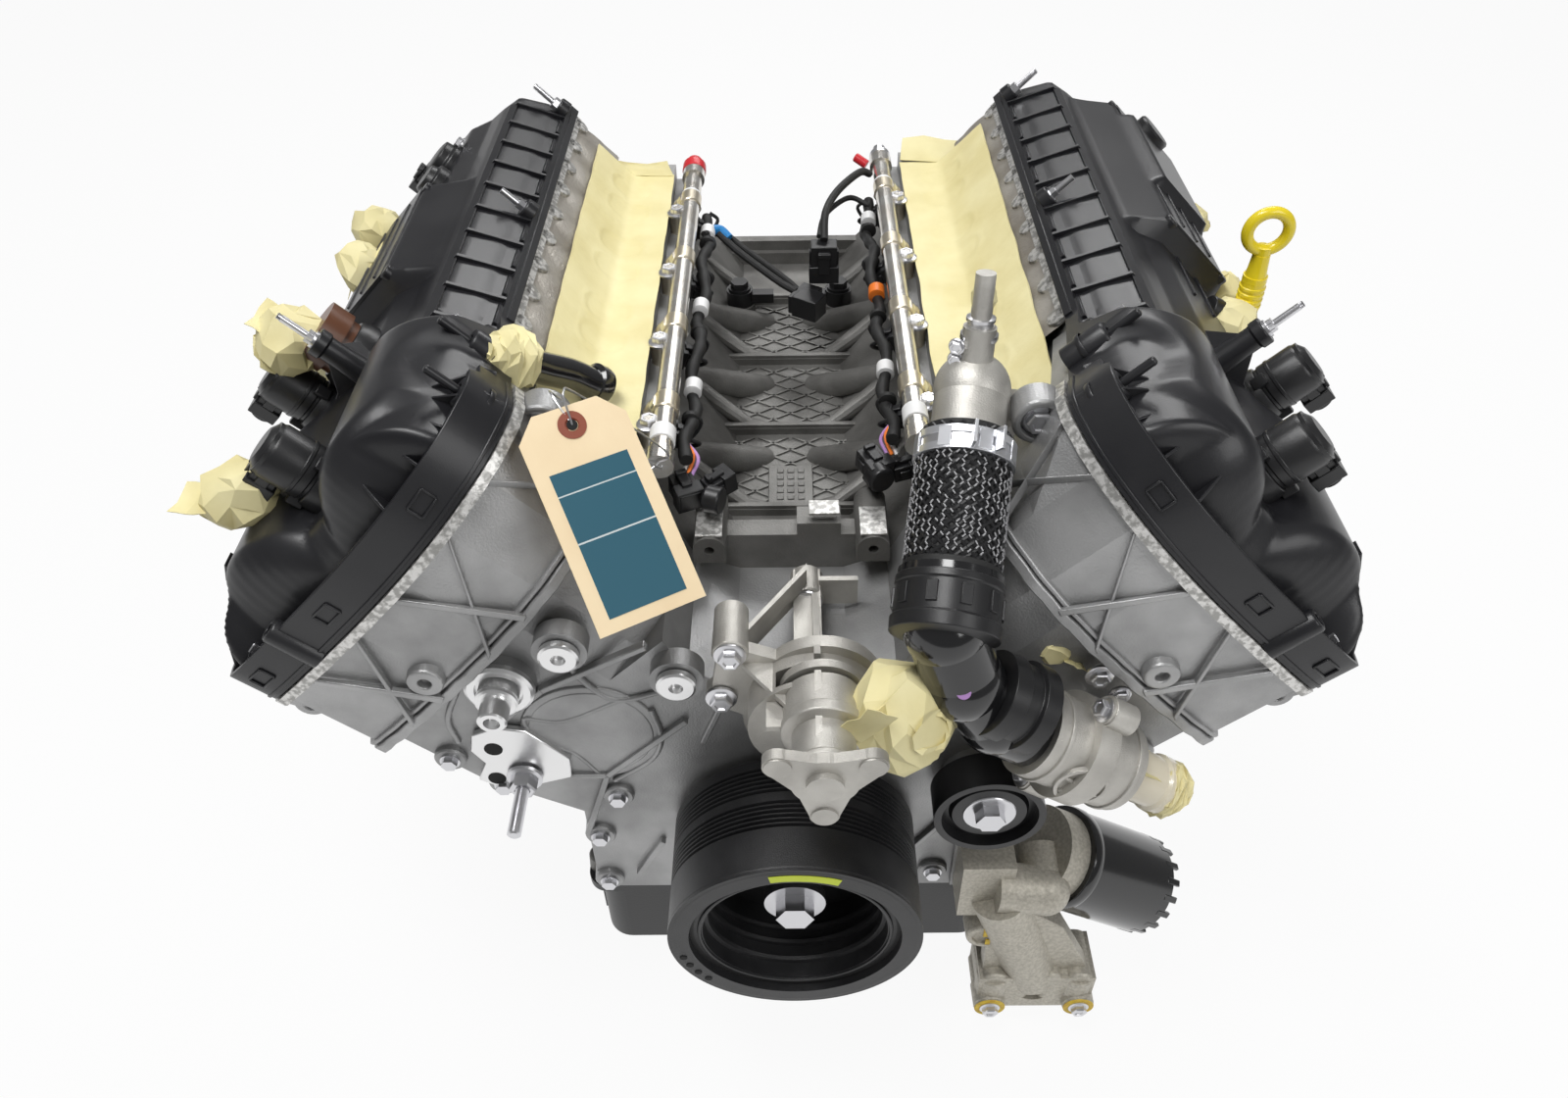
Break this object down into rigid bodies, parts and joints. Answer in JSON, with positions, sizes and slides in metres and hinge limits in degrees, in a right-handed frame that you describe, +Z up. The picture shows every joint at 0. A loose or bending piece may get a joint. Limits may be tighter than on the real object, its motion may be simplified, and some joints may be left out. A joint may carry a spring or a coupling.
{
  "type": "engine",
  "caption": "Dressed V long block with twin-cam heads, timing case, damper, water pump, fuel rails, coolant hose, oil filter, dipstick and taped intake ports.",
  "frame": {"origin": "crankshaft axis at the rear face of the crankshaft flange", "axes": "+X to the right seen from the front, +Y to the rear along the crankshaft, +Z up"},
  "size_m": [0.7594, 0.677, 0.6051],
  "materials": {
    "cast_aluminium": "as cast, fine grain",
    "machined_aluminium": "machined satin",
    "forged_steel": "forged and ground",
    "plated_steel": "zinc plated",
    "stainless": "drawn tube, satin",
    "gasket_steel": "coated sheet",
    "cover_plastic": "moulded, slightly glossy",
    "connector_plastic": "moulded",
    "guide_plastic": "moulded",
    "brown_plastic": "moulded",
    "yellow_plastic": "moulded",
    "elbow_plastic": "glossy",
    "pan_paint": "black coating",
    "damper_paint": "black coating",
    "filter_paint": "gloss black",
    "hose_rubber": "braided sleeve over rubber",
    "damper_rubber": "matt",
    "masking_tape": "creased paper tape",
    "tag_card": "buff card"
  },
  "bodies": {
    "engine": {"engine_block": "cast_aluminium", "main_bearing_caps": "machined_aluminium", "rear_seal_plate": "machined_aluminium", "connecting_rods": "forged_steel", "head_gaskets": "gasket_steel", "bank1_cylinder_head": "cast_aluminium", "bank2_cylinder_head": "cast_aluminium", "cam_caps": "cast_aluminium", "primary_chains": "forged_steel", "secondary_chains": "forged_steel", "chain_guides": "guide_plastic", "oil_pump": "cast_aluminium", "front_cover": "cast_aluminium", "bank1_cam_cover": "cover_plastic", "bank2_cam_cover": "cover_plastic", "oil_pan": "pan_paint", "water_pump_body": "cast_aluminium", "idler_bolt": "plated_steel", "thermostat_housing": "cast_aluminium", "coolant_elbow": "elbow_plastic", "coolant_hose": "hose_rubber", "hose_clamp": "plated_steel", "coolant_neck": "cast_aluminium", "oil_filter_adapter": "cast_aluminium", "oil_filter": "filter_paint", "fuel_rails": "stainless", "injectors": "connector_plastic", "knock_sensors": "connector_plastic", "vct_solenoids": "connector_plastic", "oil_filler_neck": "brown_plastic", "dipstick_tube": "plated_steel", "cover_fasteners": "plated_steel", "case_bolts": "plated_steel", "port_tapes": "masking_tape", "hang_tag": "tag_card"},
    "crank": {"crankshaft": "forged_steel", "crank_sprocket": "forged_steel", "damper_hub": "damper_paint", "damper_rubber": "damper_rubber", "damper_ring": "damper_paint", "crank_bolt": "plated_steel"},
    "bank1_intake_cam": {"bank1_intake_camshaft": "forged_steel", "bank1_intake_phaser": "forged_steel"},
    "bank1_exhaust_cam": {"bank1_exhaust_camshaft": "forged_steel", "bank1_exhaust_phaser": "forged_steel"},
    "bank2_intake_cam": {"bank2_intake_camshaft": "forged_steel", "bank2_intake_phaser": "forged_steel"},
    "bank2_exhaust_cam": {"bank2_exhaust_camshaft": "forged_steel", "bank2_exhaust_phaser": "forged_steel"},
    "pump_shaft": {"water_pump_hub": "forged_steel"},
    "idler": {"idler_pulley": "connector_plastic"},
    "oil_dipstick": {"dipstick": "yellow_plastic"},
    "piston1": {"piston_1": "machined_aluminium"},
    "piston2": {"piston_2": "machined_aluminium"},
    "piston3": {"piston_3": "machined_aluminium"},
    "piston4": {"piston_4": "machined_aluminium"},
    "piston5": {"piston_5": "machined_aluminium"},
    "piston6": {"piston_6": "machined_aluminium"},
    "piston7": {"piston_7": "machined_aluminium"},
    "piston8": {"piston_8": "machined_aluminium"}
  },
  "joints": [
    {"name": "crank_spin", "type": "hinge", "parent": "engine", "child": "crank", "pos_m": [0, -0.3, 0], "axis": [0, 1, 0], "continuous": true, "deforming": ["connecting_rods"]},
    {"name": "bank1_intake_cam_spin", "type": "hinge", "parent": "engine", "child": "bank1_intake_cam", "pos_m": [-0.21638, -0.3, 0.28143], "axis": [0, 1, 0], "continuous": true},
    {"name": "bank1_exhaust_cam_spin", "type": "hinge", "parent": "engine", "child": "bank1_exhaust_cam", "pos_m": [-0.29416, -0.3, 0.20365], "axis": [0, 1, 0], "continuous": true},
    {"name": "bank2_intake_cam_spin", "type": "hinge", "parent": "engine", "child": "bank2_intake_cam", "pos_m": [0.21638, -0.3, 0.28143], "axis": [0, 1, 0], "continuous": true},
    {"name": "bank2_exhaust_cam_spin", "type": "hinge", "parent": "engine", "child": "bank2_exhaust_cam", "pos_m": [0.29416, -0.3, 0.20365], "axis": [0, 1, 0], "continuous": true},
    {"name": "pump_spin", "type": "hinge", "parent": "engine", "child": "pump_shaft", "pos_m": [0.018, -0.63, 0.172], "axis": [0, 1, 0], "continuous": true},
    {"name": "idler_spin", "type": "hinge", "parent": "engine", "child": "idler", "pos_m": [0.131, -0.604, 0.055], "axis": [0, 1, 0], "continuous": true},
    {"name": "dipstick_pull", "type": "slide", "parent": "engine", "child": "oil_dipstick", "axis": [0, 0, 1], "range_m": [0, 0.22]},
    {"name": "piston1_slide", "type": "slide", "parent": "engine", "child": "piston1", "axis": [-0.7071, 0, 0.7071], "range_m": [-0.05992, 0.03268]},
    {"name": "piston2_slide", "type": "slide", "parent": "engine", "child": "piston2", "axis": [-0.7071, 0, 0.7071], "range_m": [-0.00301, 0.08959]},
    {"name": "piston3_slide", "type": "slide", "parent": "engine", "child": "piston3", "axis": [-0.7071, 0, 0.7071], "range_m": [-0.08703, 0.00557]},
    {"name": "piston4_slide", "type": "slide", "parent": "engine", "child": "piston4", "axis": [-0.7071, 0, 0.7071], "range_m": [-0.02074, 0.07186]},
    {"name": "piston5_slide", "type": "slide", "parent": "engine", "child": "piston5", "axis": [0.7071, 0, 0.7071], "range_m": [-0.08703, 0.00557]},
    {"name": "piston6_slide", "type": "slide", "parent": "engine", "child": "piston6", "axis": [0.7071, 0, 0.7071], "range_m": [-0.05992, 0.03268]},
    {"name": "piston7_slide", "type": "slide", "parent": "engine", "child": "piston7", "axis": [0.7071, 0, 0.7071], "range_m": [-0.02074, 0.07186]},
    {"name": "piston8_slide", "type": "slide", "parent": "engine", "child": "piston8", "axis": [0.7071, 0, 0.7071], "range_m": [-0.00301, 0.08959]}
  ],
  "couplings": [
    {"joint": "bank1_intake_cam_spin", "follows": "crank_spin", "ratio": 0.5},
    {"joint": "bank1_exhaust_cam_spin", "follows": "crank_spin", "ratio": 0.5},
    {"joint": "bank2_intake_cam_spin", "follows": "crank_spin", "ratio": 0.5},
    {"joint": "bank2_exhaust_cam_spin", "follows": "crank_spin", "ratio": 0.5}
  ]
}
